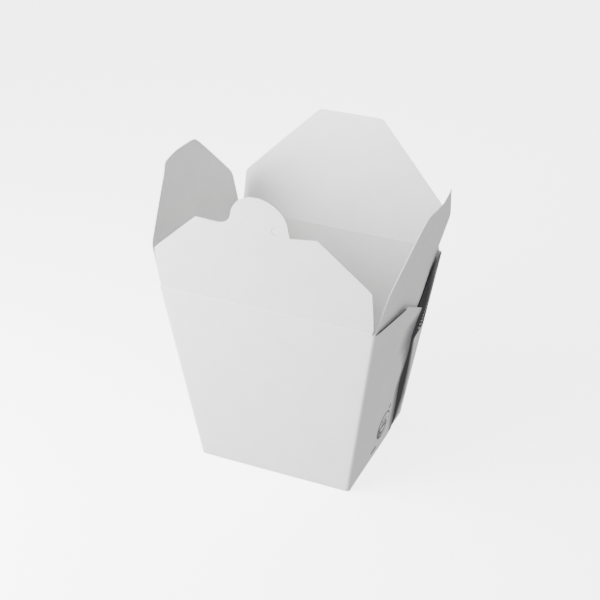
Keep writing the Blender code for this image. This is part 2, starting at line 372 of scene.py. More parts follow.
@dataclass(frozen=True)
class MarkFinish(BoardFinish):
    """Coated face with a small mark: a bowl with three bars over it in a ring that is broad on one
    side, a dot over the ring and a rule under it."""

    centre: Pair = (0.0010, 0.0163)
    ring: float = 0.0080
    hollow: float = 0.0064
    hollow_aside: float = 0.0010
    dot: Pair = (0.0052, 0.0088)
    dot_radius: float = 0.0014
    line: float = 0.00095
    bowl: float = 0.0042
    bowl_top: float = -0.0006
    bar_pitch: float = 0.0024
    bar_width: float = 0.00070
    bar_middle: float = 0.0023
    bar_half: float = 0.0017
    rule: Pair = (-0.0080, -0.0112)
    rule_half: float = 0.0035
    density: float = 0.96

    def make(self) -> bpy.types.Material:
        """Build the coated face with its mark."""
        sketch = Sketch(self.name)
        white, roughness, normal = self.surface(sketch)
        share = sketch.math("MULTIPLY", self.drawing(sketch), self.density)
        colour = sketch.mix(share, white, self.ink_and_painted_shade)
        return sketch.finish(colour, roughness, normal)

    def drawing(self, sketch: Sketch) -> bpy.types.NodeSocket:
        """The mark's lines.

        Args:
            sketch: Material that the nodes go into.

        Returns:
            Socket that is 1 on a line and 0 elsewhere.
        """
        across, up, _ = sketch.split(sketch.attribute("print_place").outputs["Vector"])
        x = sketch.math("SUBTRACT", across, self.centre[0])
        y = sketch.math("SUBTRACT", up, self.centre[1])
        outside = sketch.math("GREATER_THAN", sketch.reach(x, y), self.ring)
        hollow = sketch.reach(sketch.math("SUBTRACT", x, self.hollow_aside), y)
        ring = sketch.math("GREATER_THAN", hollow, self.hollow)
        ring = sketch.math("MULTIPLY", ring, sketch.math("SUBTRACT", 1.0, outside))
        beside = sketch.math("SUBTRACT", x, self.dot[0])
        over = sketch.math("SUBTRACT", y, self.dot[1])
        dot = sketch.math("LESS_THAN", sketch.reach(beside, over), self.dot_radius)
        below = sketch.math("SUBTRACT", y, self.bowl_top)
        shell = sketch.math("COMPARE", sketch.reach(x, below), self.bowl, self.line)
        shell = sketch.math("MULTIPLY", shell, sketch.math("LESS_THAN", below, 0.0))
        brim = sketch.math("COMPARE", below, 0.0, self.line)
        brim = sketch.math("MULTIPLY", brim, sketch.math("COMPARE", x, 0.0, self.bowl + self.line))
        step = sketch.math("WRAP", x, self.bar_pitch / 2, -self.bar_pitch / 2)
        bars = sketch.math("COMPARE", step, 0.0, self.bar_width)
        bars = sketch.math("MULTIPLY", bars, sketch.math("COMPARE", x, 0.0, 1.4 * self.bar_pitch))
        bars = sketch.math("MULTIPLY", bars, sketch.math("COMPARE", y, self.bar_middle,
                                                         self.bar_half))
        rule = sketch.math("COMPARE", y, self.rule[1], self.line)
        rule = sketch.math("MULTIPLY", rule, sketch.math("COMPARE", x, self.rule[0],
                                                         self.rule_half))
        lines = ring
        for part in (dot, shell, brim, bars, rule):
            lines = sketch.math("MAXIMUM", lines, part)
        return lines


@dataclass(frozen=True)
class CutFinish:
    """Raw cut edge of the board: matt fibres in thin layers."""

    name: str = "cut_edge"
    pale: tuple[float, float, float, float] = (0.80, 0.795, 0.78, 1.0)
    dull: tuple[float, float, float, float] = (0.68, 0.675, 0.66, 1.0)
    fibre_scale: float = 3200.0
    relief: float = 0.00003

    def make(self) -> bpy.types.Material:
        """Build the material."""
        sketch = Sketch(self.name)
        place = sketch.attribute("layout").outputs["Vector"]
        fibres = sketch.noise(place, self.fibre_scale, 4.0)
        colour = sketch.mix(sketch.ramp(fibres, 0.35, 0.70), self.pale, self.dull)
        roughness = sketch.ramp(fibres, 0.3, 0.7, 0.75, 0.92)
        return sketch.finish(colour, roughness, sketch.bump(fibres, self.relief, 0.6))


@dataclass(frozen=True)
class Palette:
    """The finishes of the board, one for each skin."""

    outside: BoardFinish = BoardFinish("coated_outside")
    dark: InkFinish = InkFinish("dark_field", shaded=False, gloss=0.02, smooth=0.60, rough=0.72)
    marked: MarkFinish = MarkFinish("coated_with_mark")
    inside: BoardFinish = BoardFinish("coated_inside", smooth=0.36, rough=0.48, relief=0.000025)
    edge: CutFinish = CutFinish()

    def make(self) -> dict[Skin, bpy.types.Material]:
        """Build every material once."""
        kinds = {Skin.COATED: self.outside, Skin.INKED: self.dark, Skin.MARKED: self.marked,
                 Skin.INSIDE: self.inside, Skin.CUT: self.edge}
        return {skin: kind.make() for skin, kind in kinds.items()}


@dataclass
class Sheet:
    """Outer face of one panel, gathered grid by grid and then given the board's thickness."""

    name: str
    outward: Point
    board: float
    bevel: float = 0.00006

    def __post_init__(self) -> None:
        """Start with no points."""
        self.knots: list[Knot] = []
        self.numbers: dict[Point, int] = {}
        self.faces: list[tuple[int, ...]] = []
        self.skins: list[int] = []

    def number(self, knot: Knot) -> int:
        """Number of a knot; knots at one place are one point."""
        key = tuple(round(value / (0.01 * MM)) for value in knot.place)
        if key not in self.numbers:
            self.numbers[key] = len(self.knots)
            self.knots.append(knot)
        return self.numbers[key]

    def add(self, grid: Grid, skin: Skin = Skin.COATED) -> None:
        """Add a grid of knots, column by column.

        Args:
            grid: Columns of knots, all of the same length.
            skin: Finish of the grid's faces.
        """
        numbers = [[self.number(knot) for knot in column] for column in grid]
        for left, right in zip(numbers, numbers[1:]):
            for i in range(len(left) - 1):
                corners = (left[i], right[i], right[i + 1], left[i + 1])
                kept = tuple(dict.fromkeys(corners))
                if len(kept) > 2:
                    self.faces.append(kept)
                    self.skins.append(int(skin))

    def build(self, palette: dict[Skin, bpy.types.Material],
              slits: tuple["Slit", ...] = ()) -> bpy.types.Object:
        """Turn the gathered face into a board panel.

        Args:
            palette: Material of each skin.
            slits: Cuts through the board.

        Returns:
            The panel, with its modifiers applied.
        """
        mesh = bpy.data.meshes.new(self.name)
        mesh.from_pydata([knot.place for knot in self.knots], [], self.faces)
        self.store(mesh)
        panel = bpy.data.objects.new(self.name, mesh)
        bpy.context.scene.collection.objects.link(panel)
        outer = (Skin.COATED, Skin.INKED, Skin.MARKED)
        inner = (Skin.INSIDE, Skin.INSIDE, Skin.INSIDE)
        # The cut edges of inked and marked faces wear the dark field's material: painted shade that
        # stands for the dark gaps between the webs' cut edges and the board behind them.
        rim = (Skin.CUT, Skin.INKED, Skin.INKED)
        for skin in outer + inner + rim:
            mesh.materials.append(palette[skin])
        mesh.polygons.foreach_set("material_index", self.skins)
        self.face_out(mesh)
        self.thicken(panel)
        for slit in slits:
            slit.cut(panel, palette[Skin.CUT])
        self.soften(panel)
        bake_modifiers(panel)
        self.tidy_slots(panel, palette)
        return panel

    def store(self, mesh: bpy.types.Mesh) -> None:
        """Keep what each knot says as values of the mesh."""
        flat = [(*knot.layout, 0.0) for knot in self.knots]
        layout = mesh.attributes.new("layout", "FLOAT_VECTOR", "POINT")
        layout.data.foreach_set("vector", np.array(flat, np.float32).ravel())
        spots = [(knot.place[1], knot.place[2], knot.inset) for knot in self.knots]
        place = mesh.attributes.new("print_place", "FLOAT_VECTOR", "POINT")
        place.data.foreach_set("vector", np.array(spots, np.float32).ravel())
        for name in ("wear", "shade"):
            values = [getattr(knot, name) for knot in self.knots]
            mesh.attributes.new(name, "FLOAT", "POINT").data.foreach_set("value", values)

    def face_out(self, mesh: bpy.types.Mesh) -> None:
        """Turn the faces so that the panel's own outer side is out."""
        lean = sum((face.normal * face.area for face in mesh.polygons), Vector())
        if lean.dot(Vector(self.outward)) < 0:
            mesh.flip_normals()

    def thicken(self, panel: bpy.types.Object) -> None:
        """Give the outer face the board's thickness on its inner side."""
        solid = panel.modifiers.new("thickness", "SOLIDIFY")
        solid.thickness = self.board
        solid.offset = -1.0
        solid.use_even_offset = True
        solid.material_offset = 3
        solid.material_offset_rim = 6

    def soften(self, panel: bpy.types.Object) -> None:
        """Break the cut edges as a steel rule leaves them."""
        edge = panel.modifiers.new("soft_edges", "BEVEL")
        edge.width = self.bevel
        edge.segments = 1
        edge.limit_method = "ANGLE"
        edge.angle_limit = radians(60)

    def tidy_slots(self, panel: bpy.types.Object, palette: dict[Skin, bpy.types.Material]) -> None:
        """Leave one slot for each material that the panel wears."""
        mesh = panel.data
        worn = [mesh.materials[face.material_index] for face in mesh.polygons]
        kept = [palette[skin] for skin in Skin if palette[skin] in worn]
        mesh.materials.clear()
        for material in kept:
            mesh.materials.append(material)
        mesh.polygons.foreach_set("material_index", [kept.index(item) for item in worn])
        mesh.shade_smooth()
        mesh.set_sharp_from_angle(angle=radians(35))
        mesh.update()


def bake_modifiers(item: bpy.types.Object) -> None:
    """Make the object's evaluated mesh its own and drop its modifiers."""
    bpy.context.view_layer.update()
    evaluated = item.evaluated_get(bpy.context.evaluated_depsgraph_get())
    mesh = bpy.data.meshes.new_from_object(evaluated)
    mesh.name = item.name
    item.modifiers.clear()
    item.data = mesh


@dataclass(frozen=True)
class Slit:
    """Curved cut through the board, as a C with round ends."""

    centre: Pair
    radius: float
    start: float
    end: float
    place: object
    width: float = 0.00028
    depth: float = 0.0016
    steps: int = 14

    def cut(self, panel: bpy.types.Object, material: bpy.types.Material) -> None:
        """Take the slit out of a panel.

        Args:
            panel: Object that the slit goes through.
            material: Finish of the slit's walls.
        """
        mesh = bmesh.new()
        rings = []
        for i in range(self.steps + 1):
            angle = blend(self.start, self.end, i / self.steps)
            ring = []
            for out, deep in ((-1, -1), (1, -1), (1, 1), (-1, 1)):
                reach = self.radius + out * self.width / 2
                across = self.centre[0] + reach * cos(angle)
                up = self.centre[1] + reach * sin(angle)
                ring.append(mesh.verts.new(self.place(across, up, deep * self.depth / 2)))
            rings.append(ring)
        for one, two in zip(rings, rings[1:]):
            for k in range(4):
                mesh.faces.new((one[k], one[(k + 1) % 4], two[(k + 1) % 4], two[k]))
        mesh.faces.new(rings[0])
        mesh.faces.new(rings[-1])
        bmesh.ops.recalc_face_normals(mesh, faces=mesh.faces)
        data = bpy.data.meshes.new("slit")
        mesh.to_mesh(data)
        mesh.free()
        slots = list(panel.data.materials)
        for item in slots:
            data.materials.append(item)
        data.polygons.foreach_set("material_index",
                                  [slots.index(material)] * len(data.polygons))
        tool = bpy.data.objects.new("slit", data)
        bpy.context.scene.collection.objects.link(tool)
        join = panel.modifiers.new("slit", "BOOLEAN")
        join.operation = "DIFFERENCE"
        join.object = tool
        join.solver = "EXACT"
        join.material_mode = "INDEX"
        bake_modifiers(panel)
        bpy.data.objects.remove(tool, do_unlink=True)


@dataclass(frozen=True)
class Form:
    """Driving sizes of the folded box; those that the frame states are read from it."""

    crease_reach_ends: float
    crease_reach_sides: float
    front_crease: float
    back_crease: float
    side_crease: float
    board: float = 0.0005
    base_side_span: float = 0.0798
    base_depth: float = 0.0748
    corner_radius: float = 0.0019
    fold_radius: float = 0.0008
    corner_steps: int = 6
    fold_steps: int = 4
    cell: float = 0.0026
    edge_row: float = 0.0016

    @classmethod
    def from_frame(cls, frame: dict) -> "Form":
        """Read the creases' places from the frame's joints."""
        spot = {joint["name"]: joint["pos_m"] for joint in frame["joints"]}
        return cls(abs(spot["back_crease"][1]), abs(spot["right_crease"][0]),
                   spot["front_crease"][2], spot["back_crease"][2], spot["right_crease"][2])

    @property
    def height(self) -> float:
        """Height of the rim, which is that of the back crease."""
        return self.back_crease

    def side_face(self, z: float) -> float:
        """X of the right wall's outer face at height z."""
        rim = self.crease_reach_sides + self.board / 2
        return blend(self.base_side_span / 2, rim, z / self.height)

    def end_face(self, z: float) -> float:
        """Y of the back wall's outer face at height z; the front wall's is its negative."""
        rim = self.crease_reach_ends + self.board / 2
        return blend(self.base_depth / 2, rim, z / self.height)

    @property
    def side_slope(self) -> float:
        """How far a side wall leans out for each metre of height."""
        return (self.side_face(self.height) - self.side_face(0.0)) / self.height

    @property
    def end_slope(self) -> float:
        """How far the front and back walls lean out for each metre of height."""
        return (self.end_face(self.height) - self.end_face(0.0)) / self.height

    def fold_under(self, slope: float) -> list[Pair]:
        """Bottom fold of a wall: how far it has drawn in, and its height, from the floor up.

        Args:
            slope: The wall's lean, in metres for each metre of height.

        Returns:
            Pairs of the drawing in from the wall's own plane and the height.
        """
        lean = atan(slope)
        pairs = []
        for step in range(self.fold_steps + 1):
            angle = blend(-pi / 2, -lean, step / self.fold_steps)
            z = self.fold_radius * (1 + sin(angle))
            plane = slope * (z - self.fold_radius) + self.fold_radius / cos(lean)
            pairs.append((plane - self.fold_radius * cos(angle), z))
        return pairs


@dataclass(frozen=True)
class Crease:
    """Scored fold between a wall and its flap: a groove outside and a bead inside."""

    reach: float
    height: float
    slope: float
    wall_face: float
    lean: float
    board: float
    zone: float = 0.0006
    groove: float = 0.00010
    groove_width: float = 0.00030
    cracking: float = 0.4
    stations: tuple[float, ...] = (-0.0012, -0.0008, -0.00055, -0.00036, -0.00018, 0.0,
                                   0.00018, 0.00036, 0.00055, 0.0008, 0.0012)

    def place(self, up: float, out: float = 0.0) -> Pair:
        """Reach and height of the outer face at a distance above the crease.

        Args:
            up: Distance along the board above the crease, negative on the wall.
            out: How far the point stands out of the board's face.

        Returns:
            Distance from the box's middle and height.
        """
        turn = ease((up + self.zone) / (2 * self.zone))
        angle = blend(atan(self.slope), self.lean, turn)
        wall_offset = (self.wall_face - self.reach) * cos(atan(self.slope))
        offset = blend(wall_offset, self.board / 2, turn) + out
        offset -= self.groove * exp(-(up / self.groove_width) ** 2)
        return (self.reach + offset * cos(angle) + up * sin(angle),
                self.height - offset * sin(angle) + up * cos(angle))

    def wear(self, up: float) -> float:
        """How much the coat is cracked at a distance above the crease."""
        return self.cracking * exp(-(up / (2.2 * self.groove_width)) ** 2)


@dataclass(frozen=True)
class Tab:
    """Round closing tab on the front flap's top edge."""

    centre: Pair = (0.0020, 0.0487)
    radius: float = 0.0140
    side_height: float = 0.0480
    neck: Pair = (0.0165, 0.0440)
    fillet_start: Pair = (-0.0186, 0.0452)
    fillet_control: Pair = (-0.0133, 0.0454)
    fillet_end_height: float = 0.0512
    notch_width: float = 0.0010
    rows: int = 9
    left_share: float = 0.30
    right_share: float = 0.26
    samples: int = 160

    def outline(self) -> np.ndarray:
        """Points from the fillet's start on the left, round the head, to the neck on the right."""
        cx, cy = self.centre
        rise = asin((self.fillet_end_height - cy) / self.radius)
        low = asin((self.side_height - cy) / self.radius)
        top = (cx - self.radius * cos(rise), self.fillet_end_height)
        points = []
        for i in range(self.samples // 4):
            t = 4 * i / self.samples
            weights = ((1 - t) ** 2, 2 * t * (1 - t), t * t)
            parts = (self.fillet_start, self.fillet_control, top)
            points.append([sum(w * p[k] for w, p in zip(weights, parts)) for k in (0, 1)])
        for i in range(self.samples + 1):
            angle = blend(pi - rise, low, i / self.samples)
            points.append([cx + self.radius * cos(angle), cy + self.radius * sin(angle)])
        points.append(self.neck)
        return np.array(points)

    def along(self, outline: np.ndarray, share: float) -> np.ndarray:
        """Point of the outline at a share of its length."""
        steps = np.linalg.norm(np.diff(outline, axis=0), axis=1)
        length = np.concatenate(([0.0], np.cumsum(steps)))
        goal = share * length[-1]
        return np.array([np.interp(goal, length, outline[:, k]) for k in (0, 1)])

    def patch(self, foot: list[Pair]) -> list[list[Pair]]:
        """Grid that fills the tab from the flap's top edge to the outline.

        Args:
            foot: Points of the flap's top edge under the tab, in the order of their X.

        Returns:
            Columns of points, one for each point of the foot.
        """
        if foot[0][0] > foot[-1][0]:
            return self.patch(foot[::-1])[::-1]
        outline = self.outline()
        left_end = self.left_share
        right_end = 1 - self.right_share
        corners = [np.array(foot[0]), np.array(foot[-1]),
                   self.along(outline, left_end), self.along(outline, right_end)]
        columns = []
        span = foot[-1][0] - foot[0][0]
        for point in foot:
            f = (point[0] - foot[0][0]) / span
            head = self.along(outline, blend(left_end, right_end, f))
            column = []
            for row in range(self.rows + 1):
                g = row / self.rows
                left = self.along(outline, left_end * g)
                right = self.along(outline, 1 - self.right_share * g)
                flat = (1 - g) * np.array(point) + g * head + (1 - f) * left + f * right
                flat -= (1 - f) * (1 - g) * corners[0] + f * (1 - g) * corners[1]
                flat -= (1 - f) * g * corners[2] + f * g * corners[3]
                column.append((float(flat[0]), float(flat[1])))
            columns.append(column)
        return columns


@dataclass(frozen=True)
class Flap:
    """Top flap: lean from upright, outline from the crease up, and bow of its top edge.

    Attributes:
        bow_middle: How far the middle of the top edge stands out of the flap's plane.
        bow_ends: How far the top edge's ends stand out of it.
        rounding: How far the round of the side corners reaches, across the flap.
        tip_dip: How far the top edge's round ends drop.
    """

    name: str
    lean: float
    half_width: float
    side_height: float
    tip_half_width: float
    tip_height: float
    bow_middle: float
    bow_ends: float
    tab: Tab | None = None
    rounding: float = 0.0009
    tip_dip: float = 0.0004
    tip_round: float = 0.20
    shoulder: float = 0.0020
    bow_power: float = 1.5
    bow_least: float = -0.25

    def half_at(self, up: float, root: float) -> float:
        """Half width at a distance above the crease, where the wall below has half width root."""
        side = blend(root, self.half_width, ease(up / self.shoulder))
        chamfer = blend(self.half_width, self.tip_half_width, self.climb(up))
        near = max(1 - abs(side - chamfer) / self.rounding, 0.0)
        return min(side, chamfer) - near * near * self.rounding / 4

    def climb(self, up: float) -> float:
        """Share of the way from the side corners to the top edge, negative below them."""
        return (up - self.side_height) / (self.tip_height - self.side_height)

    def lift(self, up: float, share: float) -> float:
        """Distance above the crease of a point of a row, a share of the half width across."""
        climb = max(self.climb(up), 0.0)
        return up - climb ** 3 * self.top_dip(share * self.tip_half_width)

    def bow(self, across: float, up: float) -> float:
        """How far the flap's face bows out, which grows from nothing at the crease."""
        arch = 1 - abs(across / self.tip_half_width) ** self.bow_power
        at_top = blend(self.bow_ends, self.bow_middle, max(arch, self.bow_least))
        return at_top * (max(up, 0.0) / self.tip_height) ** 2

    def top_dip(self, across: float) -> float:
        """How far the top edge lies under the tip height."""
        if self.tab is None:
            beyond = abs(across) / self.tip_half_width - 1 + self.tip_round
            return self.tip_dip * (max(beyond, 0.0) / self.tip_round) ** 2
        left, trough = self.tab.fillet_start
        right, neck = self.tab.neck
        notch = right + self.tab.notch_width
        stations = (-self.tip_half_width, left, right, notch, self.tip_half_width)
        heights = (self.tip_height, trough, neck, neck, self.tip_height)
        return self.tip_height - float(np.interp(across, stations, heights))

    def stations(self, cell: float, first: float) -> list[float]:
        """Distances above the crease at which the flap has its rows."""
        sides = round((self.side_height - first) / cell)
        rows = [blend(first, self.side_height, i / sides) for i in range(1, sides + 1)]
        tips = round((self.tip_height - self.side_height) / cell)
        return rows + [blend(self.side_height, self.tip_height, i / tips)
                       for i in range(1, tips + 1)]


@dataclass(frozen=True)
class Web:
    """Wing of the front or back sheet that is folded round a corner and laid on a side wall.

    Attributes:
        edge: Y of the free edge, by height.
        field_edge: Y of the side of the dark field that faces the corner, by height.
        shade: Width of the soft dark fringe beside the field, or else of the painted shade along
            the free edge, by height.
        shade_top: Height at which that shade ends, and the height over which it fades out there.
        rim_shade: Strength of the painted shade along the top edge between corner and knee, for the
            dark gap there between the web and the wall behind it.
        field_rise: Height above which the dark field runs on round the corner.
    """

    end: int
    knee: Pair
    shoulder: Pair
    edge: tuple[Pair, ...]
    corner_low: float
    corner_high: float
    edge_low: float
    edge_high: float
    settle: float
    bulge: float
    shade: tuple[Pair, ...]
    curl: float = 0.0
    corner_rise: float = -0.0005
    field_edge: tuple[Pair, ...] = ()
    field_rise: float = 0.0735
    shade_top: Pair = (0.1200, 0.0115)
    rim_shade: float = 0.0
    bends: tuple[Pair, ...] = ()

    def corner_standoff(self, form: Form, z: float) -> float:
        """How far the sheet's corner stands out from the side wall."""
        return blend(self.corner_low, self.corner_high, z / form.height)

    def standoff(self, form: Form, s: float, z: float) -> float:
        """How far the web stands out, s from 0 at its corner to 1 at its free edge."""
        at_edge = blend(self.edge_low, self.edge_high, min(z / self.shoulder[1], 1.2))
        lift = self.bulge * 4 * s * (1 - s) * (z / form.height) ** 1.5
        tuck = self.curl * ease((s - 0.86) / 0.14)
        settled = blend(self.corner_standoff(form, z), at_edge, ease(s / self.settle))
        return settled + lift - tuck

    def corner_y(self, form: Form, z: float) -> float:
        """Y at which the rounded corner ends and the web starts."""
        return self.end * (form.end_face(z) - form.corner_radius)

    def top(self, form: Form, s: float, corner_top: float) -> float:
        """Height of the web's top edge, from the corner by the knee to the shoulder."""
        corner = self.end * form.end_face(form.height)
        points = ((corner, corner_top), self.knee, *self.bends, self.shoulder)
        shares = [(y - corner) / (self.shoulder[0] - corner) for y, _ in points]
        return float(np.interp(s, shares, [z for _, z in points]))

    def share_at(self, form: Form, column: float, z: float) -> float:
        """Share of the web's width at a column, 0 to 1, at height z.

        The column at one half runs along the printed field's edge where the web has one.
        """
        if not self.field_edge:
            return column
        start = self.corner_y(form, z)
        end = eased_along(self.edge, z)
        field = max((eased_along(self.field_edge, z) - start) / (end - start), 0.0)
        if column < 0.5:
            return 2 * column * field
        return blend(field, 1.0, 2 * column - 1)

    def nearness(self, y: float, z: float) -> float:
        """Nearness to the edge of the painted shade or of the field's fringe: 1 on it, 0 where it
        ends.
        """
        away = eased_along(self.edge, z) - y
        if self.field_edge:
            away = y - eased_along(self.field_edge, z)
        end, fade = self.shade_top
        return min(1 - away / eased_along(self.shade, z), (end - z) / fade)

    def inset(self, y: float, z: float) -> float:
        """Distance inside the dark field, from the side that faces the corner."""
        return eased_along(self.field_edge, z) - y if self.field_edge else 0.0


class Panel:
    """One wall with its flap, as one piece of board that bends at its crease."""

    def __init__(self, form: Form, flap: Flap, crease: Crease) -> None:
        """Keep the sizes that every panel needs."""
        self.form = form
        self.flap = flap
        self.crease = crease

    def wall_heights(self, top: float) -> list[float]:
        """Heights of a column's rows, from the floor over the bottom fold to its top."""
        fold = [z for _, z in self.form.fold_under(self.crease.slope)]
        count = round(self.form.height / self.form.cell)
        rows = [blend(fold[-1], top, i / count) for i in range(1, count + 1)]
        # The row just under the top lets the painted shade under a web's top edge fade out within it.
        return fold + rows[:-1] + [top - self.form.edge_row, top]

    def drawn_in(self, row: int) -> float:
        """How far a row of the wall lies inside the wall's own plane."""
        fold = self.form.fold_under(self.crease.slope)
        return fold[row][0] if row < len(fold) else 0.0

    def wall_top(self) -> float:
        """Height at which the plain wall ends and the rows of the crease begin."""
        return self.crease.place(self.crease.stations[0])[1]

    def ups(self) -> list[float]:
        """Distances above the crease of all rows from the crease's first one up."""
        stations = list(self.crease.stations)
        return stations + self.flap.stations(self.form.cell, stations[-1])

    def hang(self, panel: bpy.types.Object, body: str) -> None:
        """Bake the panel's place into its mesh and hide the plain solids that it stands in for."""
        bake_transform(panel)
        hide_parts("box", self.flap.name)


class WrapPanel(Panel):
    """Front or back wall with its flap and with the webs that wrap round both corners."""

    def __init__(self, form: Form, flap: Flap, crease: Crease, web: Web, name: str) -> None:
        """Keep the web beside the panel's other sizes."""
        super().__init__(form, flap, crease)
        self.web = web
        self.name = name
        self.corner_top = form.side_crease + web.corner_rise

    def wall_shares(self) -> list[float]:
        """Places of the wall's columns, from 1 at the right edge to -1 at the left."""
        count = round(2 * self.flap.half_width / self.form.cell)
        shares = [1 - 2 * i / count for i in range(count + 1)]
        tab = self.flap.tab
        if tab is None:
            return shares
        fixed = [x / self.flap.tip_half_width for x in
                 (tab.neck[0] + tab.notch_width, tab.neck[0], tab.fillet_start[0])]
        near = 0.45 * 2 / count
        shares = [t for t in shares if min(abs(t - f) for f in fixed) > near or abs(t) == 1.0]
        return sorted(shares + fixed, reverse=True)

    def wall_reach(self, z: float) -> float:
        """Half width of the flat wall between its rounded corners."""
        standoff = self.web.corner_standoff(self.form, z)
        return self.form.side_face(z) + standoff - self.form.corner_radius

    def corner_wear(self, z: float) -> float:
        """Wear of the coat along a rounded corner, most at the floor and the rim."""
        low = exp(-(z / (6 * MM)) ** 2)
        high = exp(-((z - self.form.height) / (9 * MM)) ** 2)
        return 0.25 + 0.45 * max(low, high)

    def wall_column(self, share: float) -> list[Knot]:
        """Knots up one column of the wall."""
        column = []
        for row, z in enumerate(self.wall_heights(self.wall_top())):
            y = self.form.end_face(z) - self.drawn_in(row)
            x = share * self.wall_reach(z)
            wear = 0.5 * exp(-(z / (1.2 * MM)) ** 2)
            wear = max(wear, self.corner_wear(z) * exp(-((1 - abs(share)) * 60) ** 2))
            wear = max(wear, self.crease.wear(z - self.crease.height))
            column.append(Knot((x, self.web.end * y, z), (x, z), wear))
        return column

    def flap_point(self, across: float, up: float, out: float = 0.0) -> Point:
        """Place of a point of the flap's outer face.

        Args:
            across: X of the point.
            up: Distance above the crease, along the board.
            out: How far the point stands out of the face.

        Returns:
            The point in the box's frame.
        """
        reach, z = self.crease.place(up, self.flap.bow(across, up) + out)
        return (across, self.web.end * reach, z)

    def flap_knot(self, across: float, up: float) -> Knot:
        """Knot of the flap's outer face."""
        height = self.crease.height + up
        return Knot(self.flap_point(across, up), (across, height), self.crease.wear(up))

    def flap_column(self, share: float) -> list[Knot]:
        """Knots up one column of the crease and the flap."""
        root = self.wall_reach(self.wall_top())
        column = []
        for up in self.ups():
            across = share * self.flap.half_at(up, root)
            column.append(self.flap_knot(across, self.flap.lift(up, share)))
        return column

    def corner_column(self, angle: float, side: Side) -> list[Knot]:
        """Knots up one column of a corner, angle 0 towards X and 90 degrees towards the end."""
        column = []
        radius = self.form.corner_radius
        top = blend(self.corner_top, self.wall_top(), sin(angle) ** 2)
        tuck = ease((sin(angle) - 0.3) / 0.7)
        for row, z in enumerate(self.wall_heights(top)):
            inward = self.drawn_in(row) * tuck
            reach = radius - inward
            x = self.wall_reach(z) + reach * cos(angle)
            y = self.form.end_face(z) - radius + reach * sin(angle)
            across = self.wall_reach(z) + radius * (pi / 2 - angle)
            column.append(Knot((side * x, self.web.end * y, z), (side * across, z),
                               self.corner_wear(z)))
        return column

    def web_column(self, column: float, side: Side) -> list[Knot]:
        """Knots up one column of a web, from 0 at its corner to 1 at its free edge."""
        top = self.wall_top()
        for _ in range(30):
            top = self.web.top(self.form, self.web.share_at(self.form, column, top),
                               self.corner_top)
        knots = []
        turn = self.form.corner_radius * pi / 2
        for z in self.wall_heights(top):
            s = self.web.share_at(self.form, column, z)
            start = self.web.corner_y(self.form, z)
            y = blend(start, eased_along(self.web.edge, z), s)
            x = self.form.side_face(z) + self.web.standoff(self.form, s, z)
            across = self.wall_reach(z) + turn + abs(y - start)
            wear = self.corner_wear(z) * exp(-(abs(y - start) / (1.5 * MM)) ** 2)
            knots.append(Knot((side * x, y, z), (side * across, z), wear,
                              self.web.nearness(y, z), self.web.inset(y, z)))
        # Painted shade under the top edge between corner and knee: the top row is darkened for the
        # dark gap between the web and the wall behind it.
        if knots[-1].place[1] < self.web.knee[0]:
            rim = max(knots[-1].shade, self.web.rim_shade)
            knots[-1] = replace(knots[-1], shade=rim)
        return knots

    def web_grid(self, side: Side, first: float, last: float) -> Grid:
        """Columns of a web between two shares of its width, from the far one to the near one."""
        width = abs(eased_along(self.web.edge, 0.5 * self.form.height)
                    - self.web.corner_y(self.form, 0.5 * self.form.height))
        count = max(round(width * (last - first) / self.form.cell), 2)
        return [self.web_column(blend(last, first, i / count), side) for i in range(count + 1)]

    def build(self, palette: dict[Skin, bpy.types.Material]) -> bpy.types.Object:
        """Build the panel, folded at its crease.

        Args:
            palette: Material of each skin.

        Returns:
            The panel.
        """
        sheet = Sheet(self.name, (0, self.web.end, 0), self.form.board)
        steps = self.form.corner_steps
        for side in (Side.RIGHT, Side.LEFT):
            self.add_web(sheet, side)
            corner = [self.corner_column(i * pi / 2 / steps, side) for i in range(steps + 1)]
            self.add_corner(sheet, corner, side)
        shares = self.wall_shares()
        sheet.add([self.wall_column(share) for share in shares])
        columns = [self.flap_column(share) for share in shares]
        sheet.add(columns)
        slits = ()
        if self.flap.tab is not None:
            slits = self.add_tab(sheet, columns)
        panel = sheet.build(palette, slits)
        self.hang(panel, self.flap.name + "_body")
        return panel

    def add_web(self, sheet: Sheet, side: Side) -> None:
        """Add a web: its print, and in front the bare top edge between knee and shoulder."""
        if self.web.field_edge:
            sheet.add(side.turned(self.web_grid(side, 0.0, 0.5)))
            sheet.add(side.turned(self.web_grid(side, 0.5, 1.0)), Skin.INKED)
            return
        # The front web wears the marked skin, whose cut edges are painted dark: painted shade for the
        # gaps behind them. Only its top row between knee and shoulder keeps light cut edges.
        grid = self.web_grid(side, 0.0, 1.0)
        beyond = sum(column[-1].place[1] > self.web.knee[0] for column in grid)
        sheet.add(side.turned([column[-2:] for column in grid[:beyond + 1]]))
        sheet.add(side.turned([column[:-1] for column in grid[:beyond + 1]]), Skin.MARKED)
        sheet.add(side.turned(grid[beyond:]), Skin.MARKED)

    def add_corner(self, sheet: Sheet, corner: Grid, side: Side) -> None:
        """Add a rounded corner, dark where the field runs on round the first half of its bend."""
        bend = len(corner) // (3 if self.web.field_edge else 2)
        # On the front sheet the first half of the bend wears the marked skin, so that its cut top
        # edge is painted dark: painted shade that carries the gap's dark line on to the corner.
        if not self.web.field_edge:
            sheet.add(side.turned(corner[:bend + 1]), Skin.MARKED)
            sheet.add(side.turned(corner[bend:]))
            return
        heights = [knot.place[2] for knot in corner[0]]
        rise = next(i for i, z in enumerate(heights) if z > self.web.field_rise)
        near = corner[:bend + 1]
        sheet.add(side.turned([column[:rise + 1] for column in near]))
        sheet.add(side.turned([column[rise:] for column in near]), Skin.INKED)
        sheet.add(side.turned(corner[bend:]))

